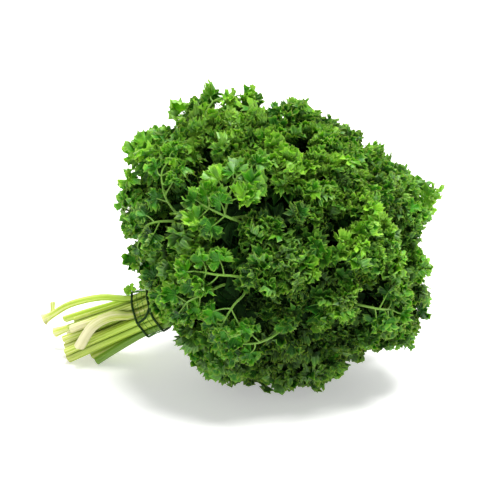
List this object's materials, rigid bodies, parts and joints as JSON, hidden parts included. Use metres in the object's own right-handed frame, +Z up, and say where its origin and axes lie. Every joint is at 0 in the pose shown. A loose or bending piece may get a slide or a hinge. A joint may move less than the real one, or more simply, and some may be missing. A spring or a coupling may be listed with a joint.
{
  "type": "parsley bunch",
  "caption": "Bunch of curly parsley lying on its side: a round head of frilled leaves over pale stalks held by an elastic net tie.",
  "frame": {"origin": "on the surface the bunch lies on, under the middle of the leafy head, in the underside of its pressed leaf", "axes": "+X from the cut stalk ends to the far side of the head, +Z up off the surface, +Y sideways"},
  "size_m": [0.301, 0.2151, 0.2162],
  "materials": {
    "leaf": "waxy satin",
    "stalk": "satin",
    "elastic": "matte"
  },
  "bodies": {
    "root": {"frond_01": "leaf", "frond_02": "leaf", "frond_03": "leaf", "frond_04": "leaf", "frond_05": "leaf", "frond_06": "leaf", "frond_07": "leaf", "frond_08": "leaf", "frond_09": "leaf", "frond_10": "leaf", "frond_11": "leaf", "frond_12": "leaf", "frond_13": "leaf", "frond_14": "leaf", "frond_15": "leaf", "frond_16": "leaf", "frond_17": "leaf", "frond_18": "leaf", "frond_19": "leaf", "frond_20": "leaf", "frond_21": "leaf", "frond_22": "leaf", "frond_23": "leaf", "frond_24": "leaf", "frond_25": "leaf", "stalk_01": "stalk", "stalk_02": "stalk", "stalk_03": "stalk", "stalk_04": "stalk", "stalk_05": "stalk", "stalk_06": "stalk", "stalk_07": "stalk", "stalk_08": "stalk", "stalk_09": "stalk", "stalk_10": "stalk", "stalk_11": "stalk", "stalk_12": "stalk", "stalk_13": "stalk", "stalk_14": "stalk", "stalk_15": "stalk", "stalk_16": "stalk", "stalk_17": "stalk", "stalk_18": "stalk", "stalk_19": "stalk", "stalk_20": "stalk", "stalk_21": "stalk", "stalk_22": "stalk", "stalk_23": "stalk", "stalk_24": "stalk", "stalk_25": "stalk", "tie_net": "elastic"}
  },
  "joints": []
}
